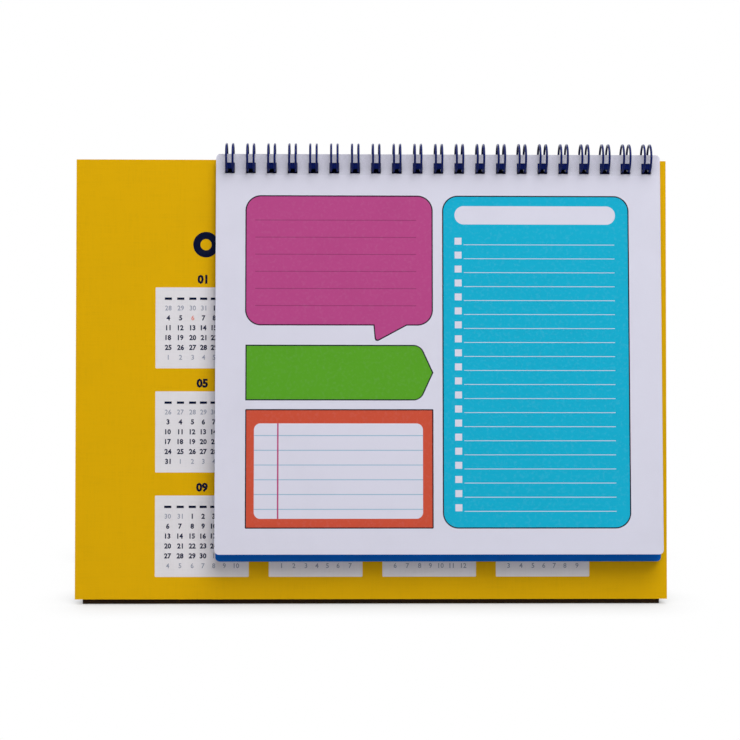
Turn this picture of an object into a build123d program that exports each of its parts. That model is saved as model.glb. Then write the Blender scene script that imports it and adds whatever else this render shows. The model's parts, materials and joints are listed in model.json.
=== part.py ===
"""Desk calendar: a wrapped-board triangular stand with a wire-bound pad hung on its front.

The stand is three greyboard panels wrapped in printed paper. A twin-loop wire runs through a row
of square holes under the front panel's top edge and carries the pad's leaves. Each leaf turns
about the centre line of the wire's loops. X runs along the wire, the front faces -Y, Z is up.
"""
import os
from math import atan2, cos, degrees, dist, pi, radians, sin, sqrt

from build123d import *

# Stand
board_width = 240.0
front_height = 180.7
base_depth = 78.0
base_setback = 1.4
base_end_inset = 3.0
front_lean = 12.5
board_thickness = 1.8
paper = 0.25
back_join = 9.0
strip_leg = 12.0
front_top_margin = 1.6
lining_inset = 0.75

# Twin-loop wire
loop_count = 21
loop_pitch = 8.467
loop_radius = 5.45
wire_diameter = 0.9
wire_play = 0.35
pair_spacing = 2.6
loop_start = 95.0
loop_end = 418.0

# Pad
leaf_width = 180.5
leaf_height = 162.0
leaf_thickness = 0.22
leaf_pitch = 0.30
leaf_corner = 1.8
hole_width = 4.0
hole_height = 4.4
hole_margin = 3.5
notes_rise = 1.45
blue_drop = 1.65
blue_hole_margin = 2.7
month_count = 5
pad_margin = 2.75
rest_fan = 0.6
leaf_fan = 0.3
pad_clearance = 0.4

# Values worked out from those above
panel = board_thickness + 2 * paper
leaf_total = month_count + 2
pad_offset = (board_width - leaf_width) / 2 - pad_margin
blue_offset = -leaf_pitch * (leaf_total - 1)
front_face = blue_offset - pad_clearance
rear_face = front_face - panel
wire_radius = wire_diameter / 2
hole_low = sqrt(loop_radius**2 - front_face**2) + wire_radius
hole_high = sqrt(loop_radius**2 - rear_face**2) - wire_radius
front_top = hole_high - wire_play - front_top_margin
lean = radians(front_lean)


def point(offset: float, down: float, turn: float = 0.0) -> tuple[float, float]:
    """Place of a point by its offset in front of the wire's axis and its way down the panel."""
    angle = lean + radians(turn)
    return (
        axis_y - offset * cos(angle) - down * sin(angle),
        axis_z + offset * sin(angle) - down * cos(angle),
    )


# The axis stands where the front panel's outer face meets the desk, front_height below its top.
notes_turn = rest_fan + leaf_fan * (leaf_total - 1)
foot_down = front_top + front_height
axis_y = 0.0
axis_z = 0.0
axis_z = -point(front_face, foot_down)[1]
foot_y = point(front_face, foot_down)[0]
pad_front = point(leaf_thickness / 2, leaf_height - notes_rise, notes_turn)[0]
axis_y = -(min(foot_y, pad_front) + foot_y + base_depth) / 2
foot_y = point(front_face, foot_down)[0]
heel_y = foot_y + base_depth


def on_front(offset: float, height: float) -> tuple[float, float]:
    """Point of the plane at this offset, parallel to the front panel, at a height over the desk."""
    down = (axis_z + offset * sin(lean) - height) / cos(lean)
    return point(offset, down)


# The back panel leans from the heel to the front panel's inner face, below the wire.
join = point(rear_face, front_top + back_join)
back_lean = atan2(heel_y - join[0], join[1])


def on_back(depth: float, height: float) -> tuple[float, float]:
    """Point of the plane this far inside the back panel's outer face, at a height over the desk."""
    return (heel_y - depth / cos(back_lean) - height * sin(back_lean) / cos(back_lean), height)


def back_to_front(depth: float) -> tuple[float, float]:
    """Point where the plane this far inside the back panel meets the front panel's inner face."""
    foot = on_back(depth, 0)
    inner = on_front(rear_face, 0)
    spread = sin(back_lean) / cos(back_lean) + sin(lean) / cos(lean)
    height = (foot[0] - inner[0]) / spread
    return on_back(depth, height)


def slab(profile: list[tuple[float, float]], width: float, mode: Mode = Mode.ADD) -> None:
    """Run a closed profile in the YZ plane along X, centred on the stand."""
    with BuildSketch(Plane.YZ) as section:
        with BuildLine():
            Polyline(*profile, close=True)
        make_face()
    extrude(section.sketch, amount=width / 2, both=True, mode=mode)


def front_layer(outer: float, inner: float, foot: float, top: float) -> list[tuple[float, float]]:
    """Profile of one layer of the front panel, between two depths under its outer face."""
    return [
        on_front(front_face - outer, foot),
        on_front(front_face - inner, foot),
        point(front_face - inner, front_top + top),
        point(front_face - outer, front_top + top),
    ]


def back_layer(outer: float, inner: float, foot: float) -> list[tuple[float, float]]:
    """Profile of one layer of the back panel, mitred against the front panel's inner face."""
    return [on_back(outer, foot), on_back(inner, foot), back_to_front(inner), back_to_front(outer)]


def base_layer(low: float, high: float, front: float, rear: float) -> list[tuple[float, float]]:
    """Profile of one layer of the base, between two heights, inset from its front and rear edges."""
    front_edge = on_front(front_face - base_setback, panel)[0] + front
    return [(front_edge, low), on_back(rear, low), on_back(rear, high), (front_edge, high)]


hole_centre = (hole_low + hole_high) / 2
front_hole_height = hole_low - hole_high + 2 * wire_play
front_plane = Plane(
    origin=(pad_offset, *point(front_face, hole_centre)),
    x_dir=(1, 0, 0),
    z_dir=(0, -cos(lean), sin(lean)),
)


def punch_front() -> None:
    """Cut the row of wire holes through a layer of the front panel."""
    with BuildSketch(front_plane) as row:
        with GridLocations(loop_pitch, 1, loop_count, 1):
            Rectangle(hole_width, front_hole_height)
    extrude(row.sketch, amount=panel, both=True, mode=Mode.SUBTRACT)


board_inner = paper + board_thickness
core_width = board_width - 2 * paper
lining_width = board_width - 2 * lining_inset

# Front panel: printed wrap turned over the board's edges, greyboard, inner lining
with BuildPart() as front_wrap:
    slab(front_layer(0, board_inner, panel, 0), board_width)
    slab(front_layer(paper, board_inner, panel + paper, paper), core_width, Mode.SUBTRACT)
    punch_front()

with BuildPart() as front_board:
    slab(front_layer(paper, board_inner, panel + paper, paper), core_width)
    punch_front()

with BuildPart() as front_lining:
    slab(front_layer(board_inner, panel, panel, paper), lining_width)
    punch_front()

# Back panel
with BuildPart() as back_wrap:
    slab(back_layer(0, board_inner, panel), board_width)
    slab(back_layer(paper, board_inner, panel), core_width, Mode.SUBTRACT)
    slab(back_layer(0, paper, paper), board_width)

with BuildPart() as back_board:
    slab(back_layer(paper, board_inner, panel), core_width)

with BuildPart() as back_lining:
    slab(back_layer(board_inner, panel, panel), lining_width)

# Base: set back under the front panel, which stands on it
base_width = board_width - 2 * base_end_inset
base_core_width = base_width - 2 * paper
strip_width = base_width - 2 * lining_inset
with BuildPart() as base_wrap:
    slab(base_layer(0, paper, 0, 0), base_width)
    slab(base_layer(paper, board_inner, 0, paper), base_width)
    slab(base_layer(paper, board_inner, paper, paper), base_core_width, Mode.SUBTRACT)

with BuildPart() as base_board:
    slab(base_layer(paper, board_inner, paper, paper), base_core_width)

with BuildPart() as base_lining:
    slab(base_layer(board_inner, panel, paper, paper), strip_width)

# Paper strips that join the panels in the three inner corners
front_inner = front_face - panel
strip_rise = strip_leg * cos(lean)
with BuildPart() as front_strip:
    corner = on_front(front_inner, panel)
    inner = on_front(front_inner - paper, panel + paper)
    slab(
        [
            corner,
            (corner[0] + strip_leg, panel),
            (corner[0] + strip_leg, panel + paper),
            inner,
            on_front(front_inner - paper, panel + strip_rise),
            on_front(front_inner, panel + strip_rise),
        ],
        strip_width,
    )

with BuildPart() as rear_strip:
    corner = on_back(panel, panel)
    slab(
        [
            corner,
            (corner[0] - strip_leg, panel),
            (corner[0] - strip_leg, panel + paper),
            on_back(panel + paper, panel + paper),
            on_back(panel + paper, panel + strip_rise),
            on_back(panel, panel + strip_rise),
        ],
        strip_width,
    )

ridge = back_to_front(panel)
ridge_low = ridge[1] - strip_rise
ridge_inner = ridge[1] - 2 * paper / (sin(lean) + sin(back_lean))
with BuildPart() as ridge_strip:
    slab(
        [
            ridge,
            on_front(front_inner, ridge_low),
            on_front(front_inner - paper, ridge_low),
            on_front(front_inner - paper, ridge_inner),
            on_back(panel + paper, ridge_inner),
            on_back(panel + paper, ridge_low),
            on_back(panel, ridge_low),
        ],
        strip_width,
    )


def ring_point(x: float, angle: float, ahead: float = 0.0) -> Vector:
    """Point of the wire's centre line at an angle from straight down towards the rear."""
    turn = radians(angle)
    offset = -loop_radius * sin(turn) - ahead * cos(turn)
    down = loop_radius * cos(turn) - ahead * sin(turn)
    return Vector(x, *point(offset, down))


# Twin-loop wire: one unbroken wire that runs up and back round each loop, then on to the next
arcs_per_ring = 4
arc_turn = (loop_end - loop_start) / arcs_per_ring
pair_half = pair_spacing / 2
link_half = loop_pitch / 2 - pair_half
with BuildPart() as twin_loop_wire:
    with BuildLine() as wire_line:
        for index in range(loop_count):
            middle = pad_offset + (index - (loop_count - 1) / 2) * loop_pitch
            left = middle - pair_half
            right = middle + pair_half
            for x, first, step in ((left, loop_start, arc_turn), (right, loop_end, -arc_turn)):
                for arc in range(arcs_per_ring):
                    angle = first + arc * step
                    ThreePointArc(
                        ring_point(x, angle),
                        ring_point(x, angle + step / 2),
                        ring_point(x, angle + step),
                    )
                if x == left:
                    ThreePointArc(
                        ring_point(left, loop_end),
                        ring_point(middle, loop_end, pair_half),
                        ring_point(right, loop_end),
                    )
            if index < loop_count - 1:
                ThreePointArc(
                    ring_point(right, loop_start),
                    ring_point(right + link_half, loop_start, -link_half),
                    ring_point(right + 2 * link_half, loop_start),
                )
    with BuildSketch(Plane(origin=wire_line.line @ 0, z_dir=wire_line.line % 0)):
        Circle(wire_radius)
    sweep()


def leaf(order: int, top: float, margin: float, height: float) -> Part:
    """One leaf of the pad: a thin sheet with rounded corners and a row of square wire holes."""
    offset = -leaf_pitch * order
    turn = notes_turn - leaf_fan * order
    tilt = lean + radians(turn)
    plane = Plane(
        origin=(pad_offset, *point(offset, 0, turn)),
        x_dir=(1, 0, 0),
        z_dir=(0, -cos(tilt), sin(tilt)),
    )
    with BuildPart() as sheet:
        with BuildSketch(plane):
            with Locations((0, -top - height / 2)):
                RectangleRounded(leaf_width, height, leaf_corner)
            with Locations((0, -top - margin - hole_height / 2)):
                with GridLocations(loop_pitch, 1, loop_count, 1):
                    Rectangle(hole_width, hole_height, mode=Mode.SUBTRACT)
        extrude(amount=leaf_thickness / 2, both=True)
    return sheet.part


nodes = {
    "front_wrap": front_wrap.part,
    "front_board": front_board.part,
    "front_lining": front_lining.part,
    "back_wrap": back_wrap.part,
    "back_board": back_board.part,
    "back_lining": back_lining.part,
    "base_wrap": base_wrap.part,
    "base_board": base_board.part,
    "base_lining": base_lining.part,
    "front_strip": front_strip.part,
    "rear_strip": rear_strip.part,
    "ridge_strip": ridge_strip.part,
    "twin_loop_wire": twin_loop_wire.part,
    "notes_sheet": leaf(0, -notes_rise, hole_margin, leaf_height),
    "blue_sheet": leaf(leaf_total - 1, blue_drop, blue_hole_margin, leaf_height),
}
# The month leaves hang as low as the blue one and end level with the notes leaf, which hides them.
month_height = leaf_height - notes_rise - blue_drop
for number in range(1, month_count + 1):
    nodes[f"month_sheet_{number}"] = leaf(number, blue_drop, blue_hole_margin, month_height)

os.makedirs("parts", exist_ok=True)
for name, part in nodes.items():
    part.label = name
    export_step(part, f"parts/{name}.step")

# Least gap of the wire to itself, on points of its line that lie further apart than a bend's length
gap_spacing = 0.2
gap_loops = 2
wire_path = wire_line.wires()[0]
gap_steps = round(gap_loops * wire_path.length / loop_count / gap_spacing)
samples = [tuple(wire_path @ (step * gap_spacing / wire_path.length)) for step in range(gap_steps)]
apart = round(pi * pair_half / gap_spacing)
least = min(dist(one, two) for order, one in enumerate(samples) for two in samples[order + apart :])
print(f"wire length {wire_path.length:.1f} mm, least gap to itself {least - wire_diameter:.2f} mm")
print(f"wire axis at y {axis_y:.3f}, z {axis_z:.3f}; back leans {degrees(back_lean):.2f} degrees")
print(f"board face {front_face:.3f} mm off the axis, its top {front_top:.3f} mm down; pad middle at x {pad_offset:.3f}")
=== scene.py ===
"""Looks of a desk calendar: a wrapped-board stand, a twin-loop wire and a pad of printed leaves.

Sizes are in metres unless a name ends in _mm. The print on a panel or leaf is laid out in
millimetres from that sheet's top left corner, to the right and down.
"""
import json
import logging
import math
from dataclasses import dataclass, field
from enum import Enum
from typing import Any, Union

import bpy
import mathutils
import numpy as np
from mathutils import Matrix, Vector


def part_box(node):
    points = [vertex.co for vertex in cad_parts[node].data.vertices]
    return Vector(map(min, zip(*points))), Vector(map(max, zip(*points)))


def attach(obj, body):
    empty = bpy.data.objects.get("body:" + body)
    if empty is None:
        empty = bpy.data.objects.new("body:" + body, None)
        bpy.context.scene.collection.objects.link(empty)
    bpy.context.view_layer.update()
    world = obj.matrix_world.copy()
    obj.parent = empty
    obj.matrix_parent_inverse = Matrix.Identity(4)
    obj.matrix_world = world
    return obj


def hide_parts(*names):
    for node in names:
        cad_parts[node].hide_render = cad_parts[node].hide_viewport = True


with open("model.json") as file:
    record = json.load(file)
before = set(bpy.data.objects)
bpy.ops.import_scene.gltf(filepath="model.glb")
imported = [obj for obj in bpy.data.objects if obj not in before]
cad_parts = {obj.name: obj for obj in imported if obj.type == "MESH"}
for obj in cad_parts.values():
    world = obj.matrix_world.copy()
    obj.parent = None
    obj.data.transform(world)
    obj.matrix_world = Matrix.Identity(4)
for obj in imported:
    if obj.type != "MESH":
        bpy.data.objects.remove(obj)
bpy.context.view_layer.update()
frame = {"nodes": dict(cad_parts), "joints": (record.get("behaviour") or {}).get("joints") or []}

logging.basicConfig(level=logging.INFO, format="%(message)s")
LOG = logging.getLogger("calendar")

MM = 0.001
LEAN_DEG = 12.5
OPEN_AIR_SAMPLES = 8
Colour = tuple[float, float, float]
Number = Union[float, "Value"]
Faces = list[tuple[int, ...]]
# Printed numbers, each with its middle in millimetres across and down.
Figures = list[tuple[str, float, float]]


def srgb(red: int, green: int, blue: int) -> Colour:
    """Linear colour of an 8-bit display colour, by the display's own transfer curve.

    Args:
        red: Red, 0 to 255.
        green: Green, 0 to 255.
        blue: Blue, 0 to 255.

    Returns:
        The colour as three linear values.
    """
    shares = np.array((red, green, blue), float) / 255.0
    linear = np.where(shares <= 0.04045, shares / 12.92, ((shares + 0.055) / 1.055) ** 2.4)
    return tuple(float(share) for share in linear)


class Ink(Enum):
    """The printed colours, as linear values."""

    YELLOW = srgb(233, 180, 0)
    PAGE = srgb(228, 227, 243)
    BLOCK = srgb(238, 235, 240)
    PINK = srgb(190, 75, 140)
    GREEN = srgb(92, 168, 39)
    ORANGE = srgb(213, 85, 61)
    CYAN = srgb(20, 182, 218)
    NAVY = srgb(0, 20, 90)
    MIDNIGHT = srgb(2, 12, 44)
    BLUE = srgb(0, 104, 206)
    OUTLINE = srgb(26, 24, 38)
    RULE = srgb(142, 186, 214)
    ROSE = srgb(192, 70, 128)
    RED = srgb(236, 132, 112)
    SLATE = srgb(32, 36, 66)
    FAINT = srgb(156, 160, 178)
    LINING = srgb(30, 33, 58)
    # Dark brown of the painted shade in the base's recess, not a printed colour.
    GRIME = srgb(34, 20, 12)


class Value:
    """A number that varies over a surface: one socket of a node tree, with arithmetic on it."""

    def __init__(self, book: "NodeBook", socket: bpy.types.NodeSocket) -> None:
        """Wrap a socket of a book's tree."""
        self.book = book
        self.socket = socket

    def _math(self, operation: str, *others: Number, swap: bool = False) -> "Value":
        """Add a Math node.

        Args:
            operation: The node's operation.
            others: The other terms.
            swap: Whether this value comes second.

        Returns:
            The node's result.
        """
        terms: list[Number] = [self, *others]
        if swap:
            terms.reverse()
        return self.book.math(operation, *terms)

    def __add__(self, other: Number) -> "Value":
        """Sum."""
        return self._math("ADD", other)

    __radd__ = __add__

    def __sub__(self, other: Number) -> "Value":
        """Difference."""
        return self._math("SUBTRACT", other)

    def __rsub__(self, other: Number) -> "Value":
        """Reflected difference."""
        return self._math("SUBTRACT", other, swap=True)

    def __mul__(self, other: Number) -> "Value":
        """Product."""
        return self._math("MULTIPLY", other)

    __rmul__ = __mul__

    def __truediv__(self, other: Number) -> "Value":
        """Quotient."""
        return self._math("DIVIDE", other)

    def __neg__(self) -> "Value":
        """Negative."""
        return self._math("MULTIPLY", -1.0)

    def __abs__(self) -> "Value":
        """Size without its sign."""
        return self._math("ABSOLUTE")

    def __mod__(self, other: Number) -> "Value":
        """Remainder that is never negative."""
        return self._math("FLOORED_MODULO", other)

    def at_least(self, other: Number) -> "Value":
        """The larger of two."""
        return self._math("MAXIMUM", other)

    def at_most(self, other: Number) -> "Value":
        """The smaller of two."""
        return self._math("MINIMUM", other)

    def above(self, other: Number) -> "Value":
        """One where this value is more, else zero."""
        return self._math("GREATER_THAN", other)

    def root(self) -> "Value":
        """Square root."""
        return self._math("SQRT")

    def share(self) -> "Value":
        """Kept between zero and one."""
        return self.at_least(0.0).at_most(1.0)


class NodeBook:
    """A material's or world's node tree, written by name."""

    def __init__(self, owner: Union[bpy.types.Material, bpy.types.World]) -> None:
        """Empty the owner's tree and take it over."""
        owner.use_nodes = True
        self.tree = owner.node_tree
        self.tree.nodes.clear()

    def node(self, kind: str, settings: dict[str, Any] | None = None,
             values: dict[Union[str, int], Any] | None = None) -> bpy.types.Node:
        """Add any node.

        Args:
            kind: The node's type.
            settings: Its own settings, set first.
            values: Socket values or links, by socket name or number.

        Returns:
            The node.
        """
        made = self.tree.nodes.new(kind)
        for name, setting in (settings or {}).items():
            setattr(made, name, setting)
        for name, value in (values or {}).items():
            self.feed(made.inputs[name], value)
        return made

    def feed(self, socket: bpy.types.NodeSocket, value: Any) -> None:
        """Set a socket, or link it to a value or another socket."""
        if isinstance(value, Value):
            value = value.socket
        if isinstance(value, bpy.types.NodeSocket):
            self.tree.links.new(value, socket)
        elif isinstance(value, tuple) and len(value) == 3 and socket.type == "RGBA":
            socket.default_value = (*value, 1.0)
        else:
            socket.default_value = value

    def math(self, operation: str, *terms: Number) -> Value:
        """Result of a Math node on up to three terms."""
        made = self.node("ShaderNodeMath", {"operation": operation}, dict(enumerate(terms)))
        return Value(self, made.outputs[0])

    def place(self) -> bpy.types.NodeSocket:
        """The point's place on the object, which is its place in the shared frame at rest."""
        return self.node("ShaderNodeTexCoord").outputs["Object"]

    def along(self, direction: tuple[float, float, float], start: tuple[float, float, float]) -> Value:
        """Way along a direction from a start, in millimetres.

        Args:
            direction: Unit direction.
            start: Where the way is zero.

        Returns:
            The way as a value.
        """
        dot = self.node("ShaderNodeVectorMath", {"operation": "DOT_PRODUCT"},
                        {0: self.place(), 1: direction})
        zero = float(np.dot(direction, start))
        return (Value(self, dot.outputs["Value"]) - zero) * (1.0 / MM)

    def noise(self, scale: float, detail: float = 3.0,
              stretch: tuple[float, float, float] = (1.0, 1.0, 1.0)) -> Value:
        """Noise over the object.

        Args:
            scale: Waves per metre.
            detail: Octaves.
            stretch: Scale along each axis.

        Returns:
            The noise, about zero to one.
        """
        where = self.node("ShaderNodeMapping", {}, {"Vector": self.place(), "Scale": stretch})
        made = self.node("ShaderNodeTexNoise", {},
                         {"Vector": where.outputs[0], "Scale": scale, "Detail": detail})
        return Value(self, made.outputs["Fac"])

    def openness(self, reach: float) -> Value:
        """Share of open air round a point: one in the open, less in a nook.

        Args:
            reach: How far off a neighbour still counts, in metres.

        Returns:
            The share.
        """
        made = self.node("ShaderNodeAmbientOcclusion", {"samples": OPEN_AIR_SAMPLES}, {"Distance": reach})
        return Value(self, made.outputs["AO"])

    def background_ray(self) -> Value:
        """One for a ray that shows the surroundings: seen, mirrored or passed through."""
        path = self.node("ShaderNodeLightPath")
        seen = Value(self, path.outputs["Is Camera Ray"])
        for kind in ("Is Glossy Ray", "Is Transmission Ray"):
            seen = seen.at_least(Value(self, path.outputs[kind]))
        return seen

    def blend(self, below: Any, above: Any, share: Number) -> bpy.types.NodeSocket:
        """Colour laid over another by a share.

        Args:
            below: Colour or socket underneath.
            above: Colour or socket on top.
            share: Zero shows the lower colour, one the upper.

        Returns:
            The mixed colour's socket.
        """
        made = self.node("ShaderNodeMix", {"data_type": "RGBA"}, {0: share, 6: below, 7: above})
        return made.outputs[2]

    def surface(self, **sockets: Any) -> None:
        """End the tree in a Principled surface with these socket values."""
        names = {name.replace("_", " "): value for name, value in sockets.items()}
        made = self.node("ShaderNodeBsdfPrincipled", {}, names)
        out = self.node("ShaderNodeOutputMaterial")
        self.tree.links.new(made.outputs[0], out.inputs["Surface"])

    def bump(self, height: Value, depth: float) -> bpy.types.NodeSocket:
        """Normal from a height.

        Args:
            height: The height, zero to one.
            depth: The height's real depth in metres.

        Returns:
            The normal's socket.
        """
        made = self.node("ShaderNodeBump", {}, {"Height": height, "Distance": depth, "Strength": 1.0})
        return made.outputs[0]


class Finish:
    """Base of the finishes: a named material with its own node tree."""

    name = "finish"

    def make(self) -> bpy.types.Material:
        """Make the material.

        Returns:
            The dressed material.
        """
        material = bpy.data.materials.new(self.name)
        self.dress(NodeBook(material))
        return material

    def dress(self, book: NodeBook) -> None:
        """Write the node tree; each finish has its own."""
        raise NotImplementedError


@dataclass(frozen=True)
class Paper:
    """A kind of paper: mottled colour, a fibre bump and an uneven sheen."""

    roughness: float
    sheen: float = 0.08
    linen: float = 0.0
    cloud_scale: float = 55.0
    cloud_dark: float = 0.10
    cloud_rough: float = 0.12
    fibre_scale: float = 2600.0
    fibre_dark: float = 0.07
    fibre_depth: float = 0.000012
    thread_scale: float = 1500.0
    thread_stretch: float = 0.06

    def cover(self, book: NodeBook, colour: Any) -> None:
        """End a tree as this paper; a linen paper also has a cross grain of threads across and up.

        Args:
            book: The tree.
            colour: The print's colour or socket.
        """
        cloud = book.noise(self.cloud_scale, 4.0)
        fibre = book.noise(self.fibre_scale, 2.0)
        dark = (cloud - 0.5).share() * self.cloud_dark + (fibre - 0.5).share() * self.fibre_dark
        if self.linen:
            long = self.thread_stretch
            across = book.noise(self.thread_scale, 2.0, (long, 1.0, 1.0))
            upward = book.noise(self.thread_scale, 2.0, (1.0, long, long))
            dark = dark + (across + upward - 1.0).share() * self.linen
        book.surface(
            Base_Color=book.blend(colour, (0.0, 0.0, 0.0), dark),
            Roughness=self.roughness + (cloud - 0.5) * self.cloud_rough,
            Specular_IOR_Level=self.sheen,
            Normal=book.bump(fibre, self.fibre_depth),
        )


WRAP_PAPER = Paper(0.42, linen=0.12)
BASE_PAPER = Paper(0.6)
LEAF_PAPER = Paper(0.58)
BLUE_PAPER = Paper(0.5)
LINING_PAPER = Paper(0.7)


def wire_axis() -> np.ndarray:
    """A point on the middle line of the wire's loops, about which the leaves turn."""
    return np.array(frame["joints"][0]["pos_m"], float)


@dataclass(frozen=True)
class SheetPlane:
    """A printed face: print runs across and down in millimetres from its top left corner."""

    node: str
    offset_mm: float
    top_mm: float
    turn_deg: float = 0.0

    @property
    def angle(self) -> float:
        """Lean from upright, in radians: the front panel's lean and the sheet's own turn."""
        return math.radians(LEAN_DEG + self.turn_deg)

    @property
    def down(self) -> tuple[float, float, float]:
        """Unit direction down the face."""
        return (0.0, -math.sin(self.angle), -math.cos(self.angle))

    @property
    def front(self) -> tuple[float, float, float]:
        """Unit direction out of the face."""
        return (0.0, -math.cos(self.angle), math.sin(self.angle))

    @property
    def corner(self) -> np.ndarray:
        """Top left corner of the face, from the wire's axis and the node's left edge."""
        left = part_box(self.node)[0].x
        start = wire_axis() + MM * (self.offset_mm * np.array(self.front) + self.top_mm * np.array(self.down))
        start[0] = left
        return start

    def ways(self, book: NodeBook) -> tuple[Value, Value]:
        """The two print coordinates of a shaded point.

        Args:
            book: The tree.

        Returns:
            Millimetres across and down.
        """
        start = tuple(float(part) for part in self.corner)
        return book.along((1.0, 0.0, 0.0), start), book.along(self.down, start)

    def facing(self, book: NodeBook) -> Value:
        """One on the printed face, zero on the other face and the edges."""
        normal = book.node("ShaderNodeTexCoord").outputs["Normal"]
        dot = book.node("ShaderNodeVectorMath", {"operation": "DOT_PRODUCT"}, {0: normal, 1: self.front})
        return Value(book, dot.outputs["Value"]).above(0.5)

    def points(self, across: np.ndarray, down: np.ndarray,
               lift_mm: Union[float, np.ndarray]) -> np.ndarray:
        """Places of print coordinates.

        Args:
            across: Millimetres across.
            down: Millimetres down.
            lift_mm: Height over the face, for all points or for each.

        Returns:
            One row of three metres per point.
        """
        ways = np.outer(across, (1.0, 0.0, 0.0)) + np.outer(down, self.down)
        return self.corner + MM * (ways + np.outer(lift_mm, self.front))


@dataclass(frozen=True)
class PrintBox:
    """A printed rectangle with rounded corners, in print millimetres."""

    left: float
    top: float
    right: float
    bottom: float
    radius: float = 0.0

    def distance(self, across: Value, down: Value) -> Value:
        """Signed distance to the outline: the usual rounded-box formula, negative inside."""
        wide = abs(across - (self.left + self.right) / 2) - ((self.right - self.left) / 2 - self.radius)
        tall = abs(down - (self.top + self.bottom) / 2) - ((self.bottom - self.top) / 2 - self.radius)
        outside_wide = wide.at_least(0.0)
        outside_tall = tall.at_least(0.0)
        outside = (outside_wide * outside_wide + outside_tall * outside_tall).root()
        return outside + wide.at_least(tall).at_most(0.0) - self.radius


def fill(distance: Value, edge_mm: float = 0.08) -> Value:
    """Mask of a shape's inside, with a soft edge this wide."""
    return (0.5 - distance / edge_mm).share()


def stroke(distance: Value, width_mm: float) -> Value:
    """Mask of a line along a shape's outline."""
    return fill(abs(distance) - width_mm / 2)


def rounded(first: Value, second: Value, radius: float) -> Value:
    """Signed distance to the overlap of two half planes with their corner eased.

    Near the corner it is the length of the two distances, each counted from a radius inside its line.

    Args:
        first: Distance beyond one line.
        second: Distance beyond the other.
        radius: How far from the corner the easing starts.

    Returns:
        The distance, negative inside.
    """
    one = (first + radius).at_least(0.0)
    other = (second + radius).at_least(0.0)
    return (one * one + other * other).root() - radius


@dataclass(frozen=True)
class RuleSet:
    """Evenly spaced printed rules, in print millimetres; short thick ones are check boxes."""

    left: float
    right: float
    first: float
    pitch: float
    count: int
    width: float

    def mask(self, across: Value, down: Value) -> Value:
        """Mask of the rules: the way down from the nearest one, by remainder, cut to the field they fill."""
        phase = (down - (self.first - self.pitch / 2)) % self.pitch - self.pitch / 2
        last = self.first + self.pitch * (self.count - 0.5)
        reach = PrintBox(self.left, self.first - self.pitch / 2, self.right, last)
        return fill(abs(phase) - self.width / 2) * fill(reach.distance(across, down))


NOTES = SheetPlane("notes_sheet", offset_mm=0.11, top_mm=-1.45, turn_deg=2.4)
BOARD = SheetPlane("front_wrap", offset_mm=-2.2, top_mm=0.674)


@dataclass(frozen=True)
class MonthLayout:
    """The twelve month blocks of the year print on the board."""

    left: float = 32.2
    top: float = 52.0
    width: float = 38.0
    height: float = 32.9
    corner: float = 0.4
    clear: float = 1.0
    column_pitch: float = 46.05
    row_pitch: float = 42.2
    columns: int = 4
    rows: int = 3
    day_across: tuple[float, ...] = (5.2, 10.2, 15.1, 19.5, 23.8, 28.1, 33.0)
    first_day_down: float = 8.4
    week_pitch: float = 4.0

    def blocks(self, across: Value, down: Value) -> Value:
        """Mask of the white blocks: one block repeated by remainder over the grid."""
        local_across = (across - self.left) % self.column_pitch
        local_down = (down - self.top) % self.row_pitch
        one = PrintBox(0.0, 0.0, self.width, self.height, self.corner).distance(local_across, local_down)
        grid = PrintBox(
            self.left - self.clear, self.top - self.clear,
            self.left + self.column_pitch * self.columns - self.clear,
            self.top + self.row_pitch * self.rows - self.clear,
        )
        return fill(one) * fill(grid.distance(across, down))


LAYOUT = MonthLayout()


class BoardWrap(Finish):
    """Satin yellow printed wrap of the front panel, with the white month blocks and painted shade round the
    punched row.
    """

    name = "board_wrap"
    punched_row = PrintBox(59.3, 1.2, 234.7, 6.7, 0.5)

    def dress(self, book: NodeBook) -> None:
        """Yellow with white blocks, and navy painted shade round the punched row under the pad, where the
        holes show only shade.
        """
        across, down = BOARD.ways(book)
        blocks = LAYOUT.blocks(across, down) * BOARD.facing(book)
        colour = book.blend(Ink.YELLOW.value, Ink.BLOCK.value, blocks)
        # Painted shade: navy round the punched row, seen only through the holes of the pad.
        row = fill(self.punched_row.distance(across, down)) * BOARD.facing(book)
        colour = book.blend(colour, Ink.NAVY.value, row)
        WRAP_PAPER.cover(book, colour)


class PlainWrap(Finish):
    """The same yellow wrap without print."""

    name = "plain_wrap"

    def dress(self, book: NodeBook) -> None:
        """Plain yellow paper."""
        WRAP_PAPER.cover(book, Ink.YELLOW.value)


class BaseWrap(Finish):
    """Yellow wrap of the base, with painted shade where the front panel overhangs its edge."""

    name = "base_wrap"
    nook_reach = 0.012
    nook_gain = 2.2

    def dress(self, book: NodeBook) -> None:
        """Yellow that turns to a dark brown painted shade in the recess."""
        # Painted shade: the recess under the front panel's overhang darkens towards dark brown the more
        # closed in it is.
        recess_painted_shade = (1.0 - book.openness(self.nook_reach)) * self.nook_gain
        colour = book.blend(Ink.YELLOW.value, Ink.GRIME.value, recess_painted_shade.share())
        BASE_PAPER.cover(book, colour)


@dataclass(frozen=True)
class PlainPaper(Finish):
    """Evenly coloured paper."""

    ink: Ink
    paper: Paper
    name: str = "plain_paper"

    def dress(self, book: NodeBook) -> None:
        """One colour with fibre and mottling."""
        self.paper.cover(book, self.ink.value)


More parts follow.
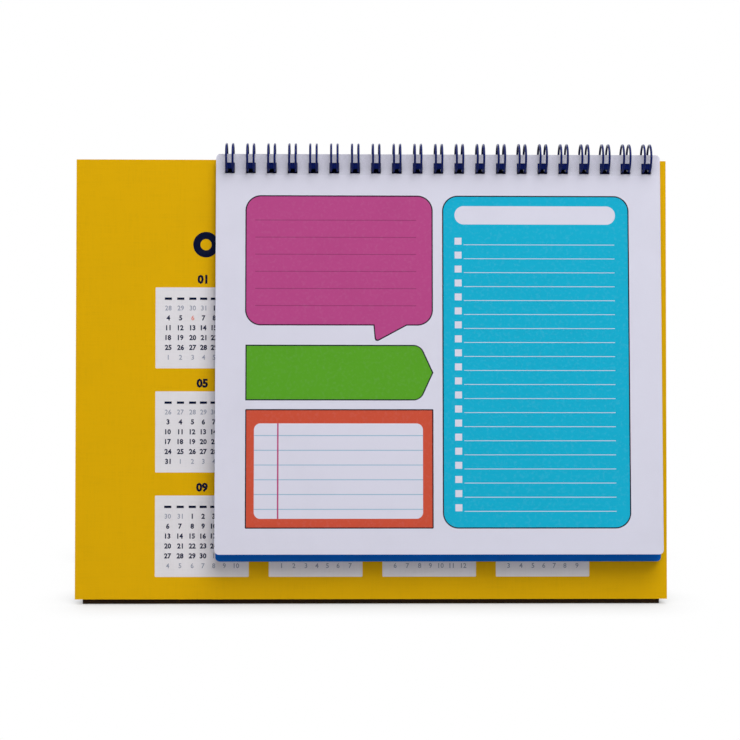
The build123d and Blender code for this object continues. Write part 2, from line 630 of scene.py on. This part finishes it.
class Greyboard(Finish):
    """Raw grey board core."""

    name = "greyboard"
    light = srgb(150, 144, 136)
    dark = srgb(92, 88, 84)
    fleck_scale = 900.0
    layer_scale = 3000.0
    layer_stretch = (0.05, 1.0, 1.0)
    layer_depth = 0.00004

    def dress(self, book: NodeBook) -> None:
        """Grey with flecks and a layered edge."""
        fleck = book.noise(self.fleck_scale, 4.0)
        layers = book.noise(self.layer_scale, 1.0, self.layer_stretch)
        colour = book.blend(self.light, self.dark, fleck)
        book.surface(Base_Color=colour, Roughness=0.85, Normal=book.bump(layers, self.layer_depth))


@dataclass(frozen=True)
class MonthGrid:
    """A plain month print: a coloured head band over ruled columns and rows."""

    head: PrintBox = PrintBox(10.0, 18.0, 170.5, 36.0, 4.0)
    cells: PrintBox = PrintBox(10.0, 44.0, 170.5, 150.0)
    days: int = 7
    weeks: int = 5
    line: float = 0.3

    def colour(self, book: NodeBook, across: Value, down: Value, band: Colour) -> bpy.types.NodeSocket:
        """Colour of the print on white paper.

        Args:
            book: The tree.
            across: Print coordinate across.
            down: Print coordinate down.
            band: The head band's colour.

        Returns:
            The colour's socket.
        """
        wide = (self.cells.right - self.cells.left) / self.days
        tall = (self.cells.bottom - self.cells.top) / self.weeks
        columns = fill(abs((across - self.cells.left + wide / 2) % wide - wide / 2) - self.line / 2)
        rows = fill(abs((down - self.cells.top + tall / 2) % tall - tall / 2) - self.line / 2)
        lines = columns.at_least(rows) * fill(self.cells.distance(across, down))
        colour = book.blend(Ink.PAGE.value, band, fill(self.head.distance(across, down)))
        return book.blend(colour, Ink.RULE.value, lines)


@dataclass(frozen=True)
class MonthFace(Finish):
    """A month leaf: the month print, and a navy strip of painted shade along the punched edge, seen through
    the holes of the leaf in front.
    """

    plane: SheetPlane
    band: Colour
    name: str = "month_face"
    edge_mm: float = 3.0

    def dress(self, book: NodeBook) -> None:
        """Lay the print and the strip of painted shade."""
        across, down = self.plane.ways(book)
        colour = MonthGrid().colour(book, across, down, self.band)
        # The navy strip down to edge_mm is painted shade, seen through the holes of the leaf in front.
        LEAF_PAPER.cover(book, book.blend(colour, Ink.NAVY.value, fill(down - self.edge_mm)))


class NotesFace(Finish):
    """The leaf in front: ruled note panels in pink, green, orange and cyan on white."""

    name = "notes_face"
    line_mm = 0.5
    # Painted shade of the wire loops on the page near its top edge: the zone, the reach and the strength of
    # the darkening.
    wire_zone_mm = 8.5
    wire_reach = 0.006
    wire_shade = 1.4
    thin_scale = 800.0
    thin_share = 0.11
    bubble = PrintBox(12.2, 17.1, 87.6, 69.6, 6.1)
    bubble_rules = RuleSet(16.0, 81.1, 27.0, 6.96, 6, 0.25)
    bubble_rule_share = 0.45
    tail_left = 64.0
    tail_right = 77.2
    tail_lean = 0.09
    tail_slope = 1.85
    tail_tip = 1.5
    tail_root = 1.0
    tag = PrintBox(12.4, 77.9, 87.7, 99.9)
    tag_slope = 0.46
    tag_shoulder = 2.3
    card = PrintBox(12.4, 103.9, 87.7, 151.4, 0.2)
    window = PrintBox(15.7, 109.4, 83.7, 147.7, 2.6)
    window_rules = RuleSet(window.left, window.right, 114.3, 5.92, 6, 0.3)
    window_margin = 25.3
    margin_mm = 0.6
    check_list = PrintBox(91.9, 17.1, 167.3, 151.4, 6.1)
    title = PrintBox(96.7, 21.1, 162.0, 28.6, 3.7)
    check_boxes = RuleSet(96.7, 99.5, 35.45, 5.675, 20, 2.8)
    check_rules = RuleSet(100.4, 161.6, 36.9, 5.675, 20, 0.26)
    check_rule_share = 0.85

    def dress(self, book: NodeBook) -> None:
        """Lay the panels on the front face, their ink thin in places, and add painted shade where the loops
        stand.
        """
        across, down = NOTES.ways(book)
        colour: Any = Ink.PAGE.value
        for lay in (self.lay_bubble, self.lay_tag, self.lay_card, self.lay_list):
            colour = lay(book, colour, across, down)
        thin = (book.noise(self.thin_scale) - 0.5).share() * self.thin_share
        colour = book.blend(colour, Ink.PAGE.value, thin)
        # Painted shade: the page darkens towards the outline ink where the wire loops stand close to it.
        wire_painted_shade = (1.0 - book.openness(self.wire_reach)) * fill(down - self.wire_zone_mm)
        colour = book.blend(colour, Ink.OUTLINE.value, (wire_painted_shade * self.wire_shade).share())
        rear = MonthGrid().colour(book, across, down, Ink.CYAN.value)
        LEAF_PAPER.cover(book, book.blend(rear, colour, NOTES.facing(book)))

    def outlined(self, book: NodeBook, colour: Any, distance: Value, ink: Ink) -> bpy.types.NodeSocket:
        """Fill a shape and draw its dark outline."""
        colour = book.blend(colour, ink.value, fill(distance))
        return book.blend(colour, Ink.OUTLINE.value, stroke(distance, self.line_mm))

    def lay_bubble(self, book: NodeBook, colour: Any, across: Value, down: Value) -> bpy.types.NodeSocket:
        """Pink panel with a small tail and faint rules."""
        below = down - self.bubble.bottom
        left_side = self.tail_left + below * self.tail_lean - across
        right_side = (across - self.tail_right + below * self.tail_slope) / math.hypot(1.0, self.tail_slope)
        tail = rounded(left_side, right_side, self.tail_tip).at_least(-below - self.tail_root)
        shape = self.bubble.distance(across, down).at_most(tail)
        colour = self.outlined(book, colour, shape, Ink.PINK)
        lines = self.bubble_rules.mask(across, down)
        return book.blend(colour, Ink.OUTLINE.value, lines * self.bubble_rule_share)

    def lay_tag(self, book: NodeBook, colour: Any, across: Value, down: Value) -> bpy.types.NodeSocket:
        """Green tag, pointed on its right, with eased shoulders."""
        away = abs(down - (self.tag.top + self.tag.bottom) / 2)
        flat = away - (self.tag.bottom - self.tag.top) / 2
        slant = (across - self.tag.right + away * self.tag_slope) / math.hypot(1.0, self.tag_slope)
        shape = rounded(flat, slant, self.tag_shoulder).at_least(self.tag.left - across)
        return self.outlined(book, colour, shape, Ink.GREEN)

    def lay_card(self, book: NodeBook, colour: Any, across: Value, down: Value) -> bpy.types.NodeSocket:
        """Orange card with a ruled white window and a margin line."""
        colour = self.outlined(book, colour, self.card.distance(across, down), Ink.ORANGE)
        window = fill(self.window.distance(across, down))
        colour = book.blend(colour, Ink.PAGE.value, window)
        colour = book.blend(colour, Ink.RULE.value, self.window_rules.mask(across, down))
        margin = fill(abs(across - self.window_margin) - self.margin_mm / 2) * window
        return book.blend(colour, Ink.ROSE.value, margin)

    def lay_list(self, book: NodeBook, colour: Any, across: Value, down: Value) -> bpy.types.NodeSocket:
        """Cyan check list: a white title field, and a box and a rule for each line."""
        colour = self.outlined(book, colour, self.check_list.distance(across, down), Ink.CYAN)
        colour = book.blend(colour, Ink.PAGE.value, fill(self.title.distance(across, down)))
        colour = book.blend(colour, Ink.PAGE.value, self.check_boxes.mask(across, down))
        lines = self.check_rules.mask(across, down) * self.check_rule_share
        return book.blend(colour, Ink.PAGE.value, lines)


class CoatedWire(Finish):
    """Navy plastic coat on steel wire."""

    name = "coated_wire"
    scuffed = srgb(10, 46, 122)
    scuff_scale = 700.0
    scuff_share = 0.5
    scuff_depth = 0.000008
    roughness = 0.34
    rough_spread = 0.15

    def dress(self, book: NodeBook) -> None:
        """Deep blue, smooth, with faint scuffs."""
        scuff = book.noise(self.scuff_scale, 3.0)
        colour = book.blend(Ink.NAVY.value, self.scuffed, (scuff - 0.45).share() * self.scuff_share)
        book.surface(
            Base_Color=colour,
            Roughness=self.roughness + (scuff - 0.5) * self.rough_spread,
            Specular_IOR_Level=0.14,
            Normal=book.bump(scuff, self.scuff_depth),
        )


@dataclass(frozen=True)
class PrintedInk(Finish):
    """Ink of the printed figures."""

    ink: Ink
    name: str = "dark_ink"
    thin_scale: float = 400.0
    thin_share: float = 0.05

    def dress(self, book: NodeBook) -> None:
        """The ink's colour, a little uneven where the paper shows through."""
        thin = (book.noise(self.thin_scale, 2.0) - 0.55).share() * self.thin_share
        colour = book.blend(self.ink.value, Ink.BLOCK.value, thin)
        book.surface(Base_Color=colour, Roughness=0.5, Specular_IOR_Level=0.05)


def new_piece(name: str, places: np.ndarray, faces: Faces, material: bpy.types.Material,
              body: str, smooth: bool = False) -> bpy.types.Object:
    """Put arrays into a mesh object that rides on a body.

    Args:
        name: The piece's name.
        places: One row of three metres per vertex.
        faces: Vertex numbers of each face.
        material: Its finish.
        body: The body that it rides on.
        smooth: Whether its faces are shaded smooth.

    Returns:
        The object.
    """
    mesh = bpy.data.meshes.new(name)
    mesh.from_pydata(places.tolist(), [], faces)
    mesh.polygons.foreach_set("use_smooth", [smooth] * len(mesh.polygons))
    mesh.materials.append(material)
    mesh.update()
    piece = bpy.data.objects.new(name, mesh)
    bpy.context.scene.collection.objects.link(piece)
    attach(piece, body)
    LOG.info("%s: %d faces on %s", name, len(faces), body)
    return piece


@dataclass
class LoopWire:
    """The twin-loop wire: one wire that runs up and back round each loop and on to the next."""

    count: int = 21
    pitch_mm: float = 8.467
    radius_mm: float = 5.45
    wire_mm: float = 0.9
    pair_mm: float = 2.6
    start_deg: float = 95.0
    end_deg: float = 418.0
    pad_middle_mm: float = 27.0
    arc_points: int = 40
    bend_points: int = 10
    sides: int = 12

    def path(self) -> tuple[np.ndarray, np.ndarray, np.ndarray]:
        """The wire's line: ring arcs at a fixed x, joined by half circles in the tangent plane.

        Returns:
            Along-x in millimetres, ring angle in radians and the way ahead along the tangent.
        """
        start, end = np.radians((self.start_deg, self.end_deg))
        pair = self.pair_mm / 2
        link = (self.pitch_mm - self.pair_mm) / 2
        rise = np.linspace(start, end, self.arc_points)
        bend = np.linspace(0.0, np.pi, self.bend_points + 2)[1:-1]
        flat = np.zeros(self.arc_points)
        across = [flat - pair, -pair * np.cos(bend), flat + pair, pair + link - link * np.cos(bend)]
        angle = [rise, np.full(bend.size, end), rise[::-1], np.full(bend.size, start)]
        ahead = [flat, pair * np.sin(bend), flat, -link * np.sin(bend)]
        middles = (np.arange(self.count) - (self.count - 1) / 2) * self.pitch_mm + self.pad_middle_mm
        one = np.concatenate(across)
        keep = self.count * one.size - bend.size
        xs = (middles[:, None] + one[None, :]).ravel()[:keep]
        angles = np.tile(np.concatenate(angle), self.count)[:keep]
        aheads = np.tile(np.concatenate(ahead), self.count)[:keep]
        return xs, angles, aheads

    def build(self, material: bpy.types.Material) -> bpy.types.Object:
        """Carry a circle along the wire's line; the ring's own radius is the frame's normal.

        Args:
            material: The wire's finish.

        Returns:
            The wire's object.
        """
        xs, angles, aheads = self.path()
        radial = np.outer(-np.sin(angles), BOARD.front) + np.outer(np.cos(angles), BOARD.down)
        tangent = np.outer(-np.cos(angles), BOARD.front) + np.outer(-np.sin(angles), BOARD.down)
        line = wire_axis() + MM * (self.radius_mm * radial + aheads[:, None] * tangent)
        line[:, 0] = xs * MM
        along = np.gradient(line, axis=0)
        along /= np.linalg.norm(along, axis=1)[:, None]
        side = np.cross(along, radial)
        turn = np.linspace(0.0, 2 * np.pi, self.sides, endpoint=False)
        circle = (np.cos(turn)[None, :, None] * radial[:, None, :]
                  + np.sin(turn)[None, :, None] * side[:, None, :])
        places = (line[:, None, :] + MM * self.wire_mm / 2 * circle).reshape(-1, 3)
        rows = np.arange(len(line) - 1)[:, None] * self.sides
        here = np.arange(self.sides)[None, :]
        after = (here + 1) % self.sides
        quads = np.stack((rows + here, rows + after, rows + self.sides + after, rows + self.sides + here), -1)
        faces = [tuple(quad) for quad in quads.reshape(-1, 4).tolist()]
        last = (len(line) - 1) * self.sides
        faces.append(tuple(range(self.sides - 1, -1, -1)))
        faces.append(tuple(range(last, last + self.sides)))
        piece = new_piece("loop_wire", places, faces, material, "stand", smooth=True)
        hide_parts("twin_loop_wire")
        return piece


@dataclass
class FigurePress:
    """Sets numbers and other flat shapes as thin films of ink on a printed face."""

    plane: SheetPlane
    lift_mm: float = 0.03
    film_mm: float = 0.02
    curve_steps: int = 2
    cache: dict[tuple[str, float, float], tuple[np.ndarray, Faces]] = field(default_factory=dict)

    def glyph(self, text: str, size_mm: float, weight: float) -> tuple[np.ndarray, Faces]:
        """Filled outline of a number, centred on its own middle and kept for the next time.

        Args:
            text: The number.
            size_mm: Type size.
            weight: How far the outline is fattened, as a share of the size.

        Returns:
            Vertices in millimetres and faces.
        """
        key = (text, size_mm, weight)
        if key not in self.cache:
            curve = bpy.data.curves.new("figure", "FONT")
            curve.body = text
            curve.size = size_mm
            curve.offset = weight * size_mm
            curve.resolution_u = self.curve_steps
            holder = bpy.data.objects.new("figure", curve)
            mesh = bpy.data.meshes.new_from_object(holder)
            spots = np.empty(len(mesh.vertices) * 3)
            mesh.vertices.foreach_get("co", spots)
            spots = spots.reshape(-1, 3)[:, :2]
            spots = spots - (spots.min(0) + spots.max(0)) / 2
            faces = [tuple(polygon.vertices) for polygon in mesh.polygons]
            self.cache[key] = (spots, faces)
            bpy.data.objects.remove(holder)
            bpy.data.meshes.remove(mesh)
            bpy.data.curves.remove(curve)
        return self.cache[key]

    def set_numbers(self, name: str, items: Figures, size_mm: float, weight: float,
                    material: bpy.types.Material) -> bpy.types.Object:
        """Set several numbers as one piece.

        Args:
            name: The piece's name.
            items: Each number with its middle, across and down in millimetres.
            size_mm: Type size.
            weight: Fattening share.
            material: The ink.

        Returns:
            The piece.
        """
        places: list[np.ndarray] = []
        faces: Faces = []
        start = 0
        for text, across, down in items:
            spots, polygons = self.glyph(text, size_mm, weight)
            places.append(self.plane.points(across + spots[:, 0], down - spots[:, 1], self.lift_mm))
            faces.extend(tuple(corner + start for corner in polygon) for polygon in polygons)
            start += len(spots)
        return self.lay(name, np.concatenate(places), faces, material)

    def lay(self, name: str, places: np.ndarray, faces: Faces,
            material: bpy.types.Material) -> bpy.types.Object:
        """Lay a film of ink on the stand; it gets its thickness towards the face that it lies on.

        Args:
            name: The piece's name.
            places: Its front's vertices, one row of three metres each.
            faces: Vertex numbers of each face.
            material: The ink.

        Returns:
            The piece.
        """
        piece = new_piece(name, places, faces, material, "stand")
        film = piece.modifiers.new("film", "SOLIDIFY")
        film.thickness = self.film_mm * MM
        film.offset = -1.0
        return piece


@dataclass
class YearPrint:
    """The year on the board: month numbers, day bars, day numbers and a plain row of rings as a head."""

    layout: MonthLayout = LAYOUT
    first_weekday: int = 4
    month_days: tuple[int, ...] = (31, 28, 31, 30, 31, 30, 31, 31, 30, 31, 30, 31)
    weeks: int = 6
    marked: tuple[int, int] = (0, 6)
    day_size_mm: float = 2.75
    day_weight: float = 0.038
    faint_weight: float = 0.012
    month_size_mm: float = 4.6
    month_weight: float = 0.05
    month_gap_mm: float = 3.3
    bar_down_mm: float = 4.6
    bar_wide_mm: float = 2.9
    bar_tall_mm: float = 0.95
    ring_count: int = 12
    ring_first_mm: float = 52.6
    ring_down_mm: float = 34.6
    ring_outer_mm: float = 5.2
    ring_inner_mm: float = 2.3
    ring_points: int = 48

    def days(self) -> tuple[Figures, Figures, Figures]:
        """Every day number of the year with its place.

        Returns:
            The month's own days, the neighbouring months' days and the marked day.
        """
        own: Figures = []
        faint: Figures = []
        marked: Figures = []
        lead = self.first_weekday
        week = len(self.layout.day_across)
        for month, length in enumerate(self.month_days):
            left, top = self.corner(month)
            before = self.month_days[month - 1]
            for cell in range(self.weeks * week):
                day = cell - lead + 1
                across = left + self.layout.day_across[cell % week]
                down = top + self.layout.first_day_down + (cell // week) * self.layout.week_pitch
                if (month, day) == self.marked:
                    marked.append((str(day), across, down))
                elif 1 <= day <= length:
                    own.append((str(day), across, down))
                else:
                    shown = before + day if day < 1 else day - length
                    faint.append((str(shown), across, down))
            lead = (lead + length) % week
        return own, faint, marked

    def corner(self, month: int) -> tuple[float, float]:
        """Top left of a month's block, across and down in millimetres."""
        column = month % self.layout.columns
        row = month // self.layout.columns
        left = self.layout.left + column * self.layout.column_pitch
        return left, self.layout.top + row * self.layout.row_pitch

    def heads(self) -> Figures:
        """Each month's number, centred over its block."""
        corners = [self.corner(month) for month in range(len(self.month_days))]
        return [
            (f"{month:02d}", left + self.layout.width / 2, top - self.month_gap_mm)
            for month, (left, top) in enumerate(corners, start=1)
        ]

    def bars(self, press: FigurePress, material: bpy.types.Material) -> bpy.types.Object:
        """A short bar over each day column: the four corners of one bar, added to each bar's middle."""
        corners = np.array([self.corner(month) for month in range(len(self.month_days))])
        across = (corners[:, 0][:, None] + np.array(self.layout.day_across)).ravel()
        down = np.repeat(corners[:, 1] + self.bar_down_mm, len(self.layout.day_across))
        wide = np.array((-0.5, 0.5, 0.5, -0.5)) * self.bar_wide_mm
        tall = np.array((0.5, 0.5, -0.5, -0.5)) * self.bar_tall_mm
        across = (across[:, None] + wide).ravel()
        down = (down[:, None] + tall).ravel()
        places = press.plane.points(across, down, press.lift_mm)
        faces = [tuple(face) for face in np.arange(len(places)).reshape(-1, 4).tolist()]
        return press.lay("day_bars", places, faces, material)

    def rings(self, press: FigurePress, material: bpy.types.Material) -> bpy.types.Object:
        """A row of flat rings across the head of the board: two circles joined round."""
        turn = np.linspace(0.0, 2 * np.pi, self.ring_points, endpoint=False)
        low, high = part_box(press.plane.node)
        reach = (high.x - low.x) / MM - 2 * self.ring_first_mm
        middles = self.ring_first_mm + np.linspace(0.0, reach, self.ring_count)
        radii = np.array((self.ring_inner_mm, self.ring_outer_mm))
        across = middles[:, None, None] + radii[None, :, None] * np.cos(turn)
        down = self.ring_down_mm + np.broadcast_to(radii[None, :, None] * np.sin(turn), across.shape)
        places = press.plane.points(across.ravel(), down.ravel(), press.lift_mm)
        here = np.arange(self.ring_points)
        after = (here + 1) % self.ring_points
        one = np.stack((here, after, after + self.ring_points, here + self.ring_points), -1)
        starts = np.arange(self.ring_count) * 2 * self.ring_points
        faces = [tuple(face) for face in (one[None, :, :] + starts[:, None, None]).reshape(-1, 4).tolist()]
        return press.lay("head_rings", places, faces, material)

    def build(self) -> None:
        """Set the whole year print on the board."""
        press = FigurePress(BOARD)
        dark = PrintedInk(Ink.MIDNIGHT, "dark_ink").make()
        slate = PrintedInk(Ink.SLATE, "slate_ink").make()
        pale = PrintedInk(Ink.FAINT, "faint_ink").make()
        red = PrintedInk(Ink.RED, "red_ink").make()
        own, faint, marked = self.days()
        press.set_numbers("day_numbers", own, self.day_size_mm, self.day_weight, slate)
        press.set_numbers("faint_numbers", faint, self.day_size_mm, self.faint_weight, pale)
        press.set_numbers("marked_number", marked, self.day_size_mm, self.faint_weight, red)
        press.set_numbers("month_numbers", self.heads(), self.month_size_mm, self.month_weight, dark)
        self.bars(press, dark)
        self.rings(press, dark)


@dataclass
class Stand:
    """The wrapped-board stand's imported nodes."""

    linings: tuple[str, ...] = ("front_lining", "back_lining", "base_lining")
    strips: tuple[str, ...] = ("front_strip", "rear_strip", "ridge_strip")
    boards: tuple[str, ...] = ("front_board", "back_board", "base_board")
    # Place and thickness of the dark sheet of painted shade behind the punched row.
    backing_box: PrintBox = PrintBox(56.0, 3.05, 238.0, 7.0)
    backing_rear_mm: float = 2.32
    backing_thick_mm: float = 0.15

    def dress(self) -> None:
        """Give every stand node its finish, and add a dark sheet of painted shade behind the punched row."""
        dress_node("front_wrap", BoardWrap().make())
        dress_node("back_wrap", PlainWrap().make())
        dress_node("base_wrap", BaseWrap().make())
        lining = PlainPaper(Ink.LINING, LINING_PAPER, "lining_paper").make()
        for node in self.linings + self.strips:
            dress_node(node, lining)
        board = Greyboard().make()
        for node in self.boards:
            dress_node(node, board)
        # Dark sheet of painted shade behind the holes.
        self.backing(lining)

    def backing(self, material: bpy.types.Material) -> None:
        """A dark sheet of painted shade behind the lower half of the punched row, where the holes show only
        shade: a box of eight corners.
        """
        box = self.backing_box
        across = np.array((box.left, box.right, box.right, box.left) * 2)
        down = np.array((box.top, box.top, box.bottom, box.bottom) * 2)
        lift = np.repeat((-self.backing_rear_mm - self.backing_thick_mm, -self.backing_rear_mm), 4)
        places = BOARD.points(across, down, lift)
        faces = [(0, 1, 2, 3), (7, 6, 5, 4), (0, 4, 5, 1), (1, 5, 6, 2), (2, 6, 7, 3), (3, 7, 4, 0)]
        new_piece("hole_painted_shade", places, faces, material, "stand")


@dataclass
class Pad:
    """The pad's packed leaves."""

    leaf_pitch_mm: float = 0.30
    leaf_fan_deg: float = 0.3
    rear_top_mm: float = 1.65
    bands: tuple[Ink, ...] = (Ink.PINK, Ink.GREEN, Ink.ORANGE, Ink.CYAN, Ink.YELLOW)

    def dress(self) -> None:
        """Give each leaf its print, and the month leaves their strip of painted shade."""
        dress_node("notes_sheet", NotesFace().make())
        for order, band in enumerate(self.bands, start=1):
            node = f"month_sheet_{order}"
            plane = SheetPlane(node, -self.leaf_pitch_mm * order, self.rear_top_mm,
                               NOTES.turn_deg - self.leaf_fan_deg * order)
            dress_node(node, MonthFace(plane, band.value, f"month_face_{order}").make())
        dress_node("blue_sheet", PlainPaper(Ink.BLUE, BLUE_PAPER, "blue_paper").make())


def dress_node(node: str, material: bpy.types.Material) -> None:
    """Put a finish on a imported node's only slot."""
    mesh = frame["nodes"][node].data
    mesh.materials.clear()
    mesh.materials.append(material)
    LOG.info("%s: %s", node, material.name)


@dataclass(frozen=True)
class Lamp:
    """A square soft lamp: where it hangs, its side in metres and its power in watts."""

    name: str
    place: tuple[float, float, float]
    side: float
    power: float


@dataclass
class Studio:
    """Pale floor, soft lamps, white surroundings and the camera of the photograph."""

    camera_mm: tuple[float, float, float] = (-16.94, -813.72, 248.76)
    pitch: float = 0.1929
    yaw: float = 0.0203
    roll: float = 0.0049
    focal_px: float = 2000.0
    image_px: float = 740.0
    sensor_mm: float = 36.0
    floor_half: float = 3.0
    floor_shade: float = 0.6
    floor_reach: float = 0.02
    sky_strength: float = 0.17
    aim: tuple[float, float, float] = (0.0, 0.0, 0.09)
    key: Lamp = Lamp("key_lamp", (0.35, -0.6, 1.58), 1.3, 27.4)
    front_fill: Lamp = Lamp("fill_lamp", (-0.4, -1.4, 0.5), 1.2, 0.7)
    rear_fill: Lamp = Lamp("rear_lamp", (-0.2, 1.1, 0.7), 0.9, 7.0)

    def build(self) -> None:
        """Make the floor, the lamps, the world and the camera."""
        self.floor()
        self.world()
        for lamp in (self.key, self.front_fill, self.rear_fill):
            self.hang(lamp)
        self.camera()

    def floor(self) -> None:
        """A pale floor that stays white to the camera away from the object."""
        half = self.floor_half
        places = np.array(((-half, -half, 0), (half, -half, 0), (half, half, 0), (-half, half, 0)), float)
        mesh = bpy.data.meshes.new("floor")
        mesh.from_pydata(places.tolist(), [], [(0, 1, 2, 3)])
        material = bpy.data.materials.new("floor_white")
        book = NodeBook(material)
        white = book.background_ray() * book.openness(self.floor_reach)
        matt = book.node("ShaderNodeBsdfDiffuse", {}, {"Color": (self.floor_shade,) * 3})
        glow = book.node("ShaderNodeEmission", {}, {"Color": (1.0, 1.0, 1.0), "Strength": 1.0})
        mixed = book.node("ShaderNodeMixShader", {}, {0: white, 1: matt.outputs[0], 2: glow.outputs[0]})
        out = book.node("ShaderNodeOutputMaterial")
        book.tree.links.new(mixed.outputs[0], out.inputs["Surface"])
        mesh.materials.append(material)
        floor = bpy.data.objects.new("floor", mesh)
        bpy.context.scene.collection.objects.link(floor)

    def world(self) -> None:
        """Soft even light, and white where the camera looks past the object."""
        world = bpy.data.worlds.new("studio")
        bpy.context.scene.world = world
        book = NodeBook(world)
        strength = book.background_ray() * (1.0 - self.sky_strength) + self.sky_strength
        back = book.node("ShaderNodeBackground", {}, {"Color": (1.0, 1.0, 1.0), "Strength": strength})
        out = book.node("ShaderNodeOutputWorld")
        book.tree.links.new(back.outputs[0], out.inputs["Surface"])

    def hang(self, lamp: Lamp) -> None:
        """Hang a lamp and aim it at the middle of the calendar."""
        light = bpy.data.lights.new(lamp.name, "AREA")
        light.size = lamp.side
        light.energy = lamp.power
        hung = bpy.data.objects.new(lamp.name, light)
        bpy.context.scene.collection.objects.link(hung)
        hung.location = lamp.place
        hung.rotation_euler = look_along(np.array(self.aim) - np.array(lamp.place)).to_euler()

    def camera(self) -> None:
        """The photograph's camera: its place, pitch, yaw and roll, and its focal length in pixels."""
        data = bpy.data.cameras.new("camera")
        data.sensor_width = self.sensor_mm
        data.lens = self.focal_px / self.image_px * self.sensor_mm
        camera = bpy.data.objects.new("camera", data)
        bpy.context.scene.collection.objects.link(camera)
        camera.location = [part * MM for part in self.camera_mm]
        level = math.cos(self.pitch)
        ahead = np.array((math.sin(self.yaw) * level, math.cos(self.yaw) * level, -math.sin(self.pitch)))
        camera.rotation_euler = look_along(ahead, self.roll).to_euler()
        bpy.context.scene.camera = camera


def look_along(ahead: np.ndarray, roll: float = 0.0) -> mathutils.Matrix:
    """Rotation that turns a lamp's or camera's view along a direction.

    Args:
        ahead: The direction of view.
        roll: Turn about it, in radians.

    Returns:
        The three by three rotation.
    """
    forward = ahead / np.linalg.norm(ahead)
    right = np.cross(forward, (0.0, 0.0, 1.0))
    right /= np.linalg.norm(right)
    up = np.cross(right, forward)
    turned = right * math.cos(roll) + up * math.sin(roll)
    top = up * math.cos(roll) - right * math.sin(roll)
    return mathutils.Matrix(np.stack((turned, top, -forward), axis=1).tolist())


def main() -> None:
    """Build the calendar's looks and the studio."""
    bpy.context.scene.view_settings.view_transform = "Standard"
    Stand().dress()
    Pad().dress()
    LoopWire().build(CoatedWire().make())
    YearPrint().build()
    Studio().build()


if __name__ == "__main__":
    main()
